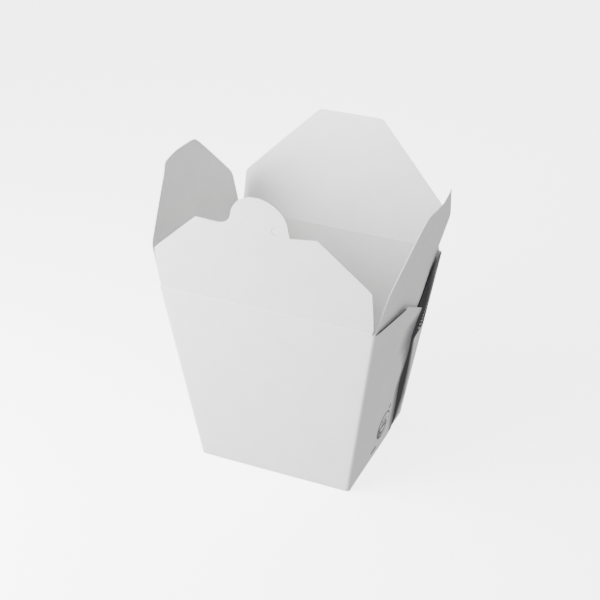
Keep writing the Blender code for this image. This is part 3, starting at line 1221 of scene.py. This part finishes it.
    def add_tab(self, sheet: Sheet, columns: Grid) -> tuple[Slit, ...]:
        """Add the tab's face over the flap's top edge and give its slits.

        Args:
            sheet: Sheet that the tab belongs to.
            columns: The flap's columns, whose last knots are its top edge.

        Returns:
            The curved slits in the tab.
        """
        tab = self.flap.tab
        reach = 0.01 * MM
        foot = [column[-1].layout for column in columns
                if tab.fillet_start[0] - reach < column[-1].layout[0] < tab.neck[0] + reach]
        foot = [(across, height - self.crease.height) for across, height in foot]
        sheet.add([[self.flap_knot(*spot) for spot in column] for column in tab.patch(foot)])
        slit = Slit((0.0100, 0.0463), 0.0021, radians(100), radians(270), self.flap_point)
        return (slit, replace(slit, centre=(-0.0080, 0.0466), start=radians(-70),
                              end=radians(60), width=0.00016))


class SidePanel(Panel):
    """Side wall with its flap, between the two sheets that wrap round the ends."""

    def __init__(self, form: Form, flap: Flap, crease: Crease, webs: tuple[Web, Web],
                 side: Side, name: str) -> None:
        """Keep the webs that the wall meets, and the way it faces."""
        super().__init__(form, flap, crease)
        self.webs = webs
        self.side = side
        self.name = name

    def wall_end(self, web: Web, z: float) -> float:
        """Y at which the wall's edge lies in the middle of the sheet that it meets."""
        ring = self.form.corner_radius - self.form.board / 2
        off = max(0.0, self.form.corner_radius - web.corner_standoff(self.form, z)
                  - self.form.board / 2)
        return web.end * (self.form.end_face(z) - self.form.corner_radius
                          + sqrt(ring * ring - off * off))

    def column(self, share: float) -> list[Knot]:
        """Knots up one column of the wall and its flap, share 0 in front and 1 behind."""
        knots = []
        for row, z in enumerate(self.wall_heights(self.wall_top())):
            y = blend(self.wall_end(self.webs[0], z), self.wall_end(self.webs[1], z), share)
            x = self.form.side_face(z) - self.drawn_in(row)
            wear = max(0.5 * exp(-(z / (1.2 * MM)) ** 2),
                       self.crease.wear(z - self.crease.height))
            knots.append(Knot((self.side * x, y, z), (y, z), wear))
        low = blend(self.wall_end(self.webs[0], self.wall_top()),
                    self.wall_end(self.webs[1], self.wall_top()), share)
        across = 2 * share - 1
        for up in self.ups()[1:]:
            half = self.flap.half_at(up, self.flap.half_width)
            y = blend(low, across * half, ease(up / self.flap.shoulder))
            lift = self.flap.lift(up, across)
            reach, z = self.crease.place(lift, self.flap.bow(y, lift))
            knots.append(Knot((self.side * reach, y, z), (y, self.crease.height + lift),
                              self.crease.wear(up)))
        return knots

    def build(self, palette: dict[Skin, bpy.types.Material]) -> bpy.types.Object:
        """Build the panel, folded at its crease.

        Args:
            palette: Material of each skin.

        Returns:
            The panel.
        """
        sheet = Sheet(self.name, (self.side, 0, 0), self.form.board)
        count = round(2 * self.flap.half_width / self.form.cell)
        sheet.add([self.column(i / count) for i in range(count + 1)])
        panel = sheet.build(palette)
        self.hang(panel, self.flap.name + "_body")
        return panel


@dataclass(frozen=True)
class BasePanel:
    """Bottom of the box, between the folds under its four walls."""

    form: Form
    lap: float = 0.00010
    step: float = 0.00003
    corner_radius: float = 0.0006
    name: str = "base_panel"

    def build(self, palette: dict[Skin, bpy.types.Material]) -> bpy.types.Object:
        """Build the bottom as one flat piece of board.

        Args:
            palette: Material of each skin.

        Returns:
            The panel, on the box's body.
        """
        half_x = self.form.side_face(0.0) - self.form.fold_under(self.form.side_slope)[0][0]
        half_y = self.form.end_face(0.0) - self.form.fold_under(self.form.end_slope)[0][0]
        half_x += self.lap
        half_y += self.lap
        sheet = Sheet(self.name, (0, 0, -1), self.form.board - 2 * self.step)
        count = round(2 * half_x / self.form.cell)
        rows = round(2 * half_y / self.form.cell)
        grid = []
        for i in range(count + 1):
            x = blend(-half_x, half_x, i / count)
            column = []
            for j in range(rows + 1):
                y = blend(-half_y, half_y, j / rows)
                gap = min(half_x - abs(x), half_y - abs(y))
                wear = 0.5 * exp(-(gap / (0.8 * MM)) ** 2)
                column.append(Knot((x, y, self.step), (x, y), wear))
            grid.append(column)
        sheet.add(grid)
        panel = sheet.build(palette)
        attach(panel, "box_body")
        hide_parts("box")
        return panel


class NoodleBox:
    """The whole box: two wrapped sheets, two side panels and the base."""

    FRONT_WEB = Web(
        end=-1,
        knee=(-0.0028, 0.0905),
        shoulder=(0.0286, 0.0723),
        edge=((0.0, 0.0205), (0.016, 0.0186), (0.034, 0.0160), (0.050, 0.0206),
              (0.060, 0.0200), (0.067, 0.0237), (0.0723, 0.0286)),
        corner_low=0.0006, corner_high=0.0009, edge_low=0.0012, edge_high=0.0021,
        settle=1.0, bulge=0.0011, curl=0.00025, corner_rise=0.0,
        shade=((0.0, 0.0070), (0.020, 0.0090), (0.031, 0.0085), (0.040, 0.0070),
               (0.0435, 0.0075), (0.048, 0.0115), (0.056, 0.0160), (0.066, 0.0262),
               (0.072, 0.0290)),
        shade_top=(0.0757, 0.0090), rim_shade=0.53,
    )
    BACK_WEB = Web(
        end=1,
        knee=(0.0400, 0.0965),
        bends=((0.0353, 0.0832), (0.0272, 0.0740)),
        shoulder=(0.0080, 0.0590),
        edge=((0.0, 0.0060), (0.0590, 0.0080)),
        corner_low=0.0007, corner_high=0.0026, edge_low=0.00055, edge_high=0.0006,
        settle=0.30, bulge=0.0,
        shade=((0.0, 0.0065), (0.012, 0.0065), (0.025, 0.0045), (0.045, 0.0030),
               (0.060, 0.0015), (0.072, 0.0010)),
        field_edge=((0.0, 0.0205), (0.0040, 0.0268), (0.016, 0.0300), (0.0285, 0.0306),
                    (0.0392, 0.0304), (0.0520, 0.0296), (0.0545, 0.0340), (0.058, 0.0385),
                    (0.062, 0.0413), (0.067, 0.0428), (0.0735, 0.0438), (0.100, 0.0450)),
    )

    def __init__(self, frame: dict) -> None:
        """Work the box's form out from the frame."""
        self.form = Form.from_frame(frame)

    def crease(self, height: float, lean: float, side: bool) -> Crease:
        """Crease of one flap.

        Args:
            height: Height of the crease.
            lean: The flap's lean from upright.
            side: True on a side wall, False on the front and back walls.

        Returns:
            The crease.
        """
        form = self.form
        if side:
            return Crease(form.crease_reach_sides, height, form.side_slope,
                          form.side_face(height), lean, form.board)
        return Crease(form.crease_reach_ends, height, form.end_slope,
                      form.end_face(height), lean, form.board)

    def parts(self) -> list:
        """The panels, in the order in which they are folded up."""
        form = self.form
        front = Flap("front_flap", radians(8.0), 0.0543, 0.0228, 0.0299, 0.0457,
                     0.0004, 0.00015, Tab())
        back = Flap("back_flap", radians(16.6), 0.0538, 0.0213, 0.0172, 0.0587, 0.0012, 0.0009)
        right = Flap("right_flap", radians(15.7), 0.0418, 0.0226, 0.0157, 0.0515,
                     0.0018, 0.0004, rounding=0.0030, tip_dip=0.0006)
        left = replace(right, name="left_flap", lean=radians(10.6), half_width=0.0425,
                       tip_height=0.0523, bow_middle=0.0027, bow_ends=0.0006, rounding=0.0022)
        webs = (self.FRONT_WEB, self.BACK_WEB)
        parts = [BasePanel(form)]
        for flap, side, name in ((right, Side.RIGHT, "right_panel"), (left, Side.LEFT, "left_panel")):
            crease = self.crease(form.side_crease, flap.lean, True)
            parts.append(SidePanel(form, flap, crease, webs, side, name))
        parts.append(WrapPanel(form, back, self.crease(form.back_crease, back.lean, False),
                               self.BACK_WEB, "back_panel"))
        parts.append(WrapPanel(form, front, self.crease(form.front_crease, front.lean, False),
                               self.FRONT_WEB, "front_panel"))
        return parts

    def build(self) -> list[bpy.types.Object]:
        """Build every panel and report it."""
        palette = Palette().make()
        panels = []
        for part in self.parts():
            panel = part.build(palette)
            LOG.info("%s: %d faces", panel.name, len(panel.data.polygons))
            panels.append(panel)
        return panels


@dataclass(frozen=True)
class View:
    """Camera of the photograph: where it stands round the box and how far it is turned."""

    azimuth: float = radians(24.14)
    elevation: float = radians(31.06)
    roll: float = radians(-0.52)
    distance: float = 0.6826
    aim_height: float = 0.0653
    shift_right: float = -0.00149
    shift_up: float = 0.01284
    lens: float = 82.06
    sensor: float = 36.0

    def build(self) -> bpy.types.Object:
        """Place the camera and make it the scene's."""
        back = Vector((sin(self.azimuth) * cos(self.elevation),
                       -cos(self.azimuth) * cos(self.elevation), sin(self.elevation)))
        level = Vector((cos(self.azimuth), sin(self.azimuth), 0.0))
        upright = back.cross(level)
        right = cos(self.roll) * level + sin(self.roll) * upright
        up = cos(self.roll) * upright - sin(self.roll) * level
        data = bpy.data.cameras.new("camera")
        data.lens = self.lens
        data.sensor_width = self.sensor
        data.clip_start = 0.01
        camera = bpy.data.objects.new("camera", data)
        turn = Matrix((right, up, back)).transposed()
        place = Vector((0.0, 0.0, self.aim_height)) + back * self.distance
        place += right * self.shift_right + up * self.shift_up
        camera.matrix_world = Matrix.Translation(place) @ turn.to_4x4()
        bpy.context.scene.collection.objects.link(camera)
        bpy.context.scene.camera = camera
        return camera


@dataclass(frozen=True)
class SoftBox:
    """Square studio lamp aimed at the box, which the camera doesn't see.

    Attributes:
        turn: Way to the lamp, from the front towards the right.
        rise: Its elevation.
    """

    name: str
    turn: float
    rise: float
    distance: float
    size: float
    power: float
    aim: Point = (0.0, 0.0, 0.08)

    def build(self) -> bpy.types.Object:
        """Hang the lamp and aim it."""
        data = bpy.data.lights.new(self.name, "AREA")
        data.shape = "SQUARE"
        data.size = self.size
        data.energy = self.power
        lamp = bpy.data.objects.new(self.name, data)
        way = Vector((sin(self.turn) * cos(self.rise), -cos(self.turn) * cos(self.rise),
                      sin(self.rise)))
        lamp.location = Vector(self.aim) + way * self.distance
        lamp.rotation_euler = way.to_track_quat("Z", "Y").to_euler()
        lamp.visible_camera = False
        bpy.context.scene.collection.objects.link(lamp)
        return lamp


@dataclass(frozen=True)
class Studio:
    """Pale backlit floor and soft white light, the strongest from low on the left in front."""

    floor_half: float = 9.0
    floor_white: tuple[float, float, float, float] = (0.93, 0.93, 0.93, 1.0)
    floor_glow: float = 4.2
    world: float = 0.84
    lamps: tuple[SoftBox, ...] = (
        SoftBox("key", radians(-30.0), radians(30.0), 0.75, 0.70, 5.1),
        SoftBox("near", radians(-48.0), radians(19.0), 0.37, 0.36, 5.9),
    )

    def build(self) -> None:
        """Lay the floor, light the world and hang the lamps."""
        mesh = bpy.data.meshes.new("floor")
        half = self.floor_half
        corners = [(-half, -half, 0.0), (half, -half, 0.0), (half, half, 0.0), (-half, half, 0.0)]
        mesh.from_pydata(corners, [], [(0, 1, 2, 3)])
        floor = bpy.data.objects.new("floor", mesh)
        bpy.context.scene.collection.objects.link(floor)
        material = bpy.data.materials.new("floor_white")
        material.use_nodes = True
        shader = material.node_tree.nodes["Principled BSDF"]
        shader.inputs["Base Color"].default_value = self.floor_white
        shader.inputs["Roughness"].default_value = 0.85
        shader.inputs["Specular IOR Level"].default_value = 0.0
        shader.inputs["Emission Color"].default_value = self.floor_white
        shader.inputs["Emission Strength"].default_value = self.floor_glow
        mesh.materials.append(material)
        floor.visible_diffuse = False
        floor.visible_glossy = False
        world = bpy.data.worlds.new("studio")
        world.use_nodes = True
        sky = world.node_tree.nodes["Background"]
        sky.inputs["Color"].default_value = (1.0, 1.0, 1.0, 1.0)
        sky.inputs["Strength"].default_value = self.world
        bpy.context.scene.world = world
        for lamp in self.lamps:
            lamp.build()


def main() -> None:
    """Build the box, the studio and the camera, and note the sizes."""
    logging.basicConfig(level=logging.INFO, format="%(name)s: %(message)s")
    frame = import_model()
    NoodleBox(frame).build()
    Studio().build()
    View().build()
    bpy.context.view_layer.update()


if __name__ == "__main__":
    main()
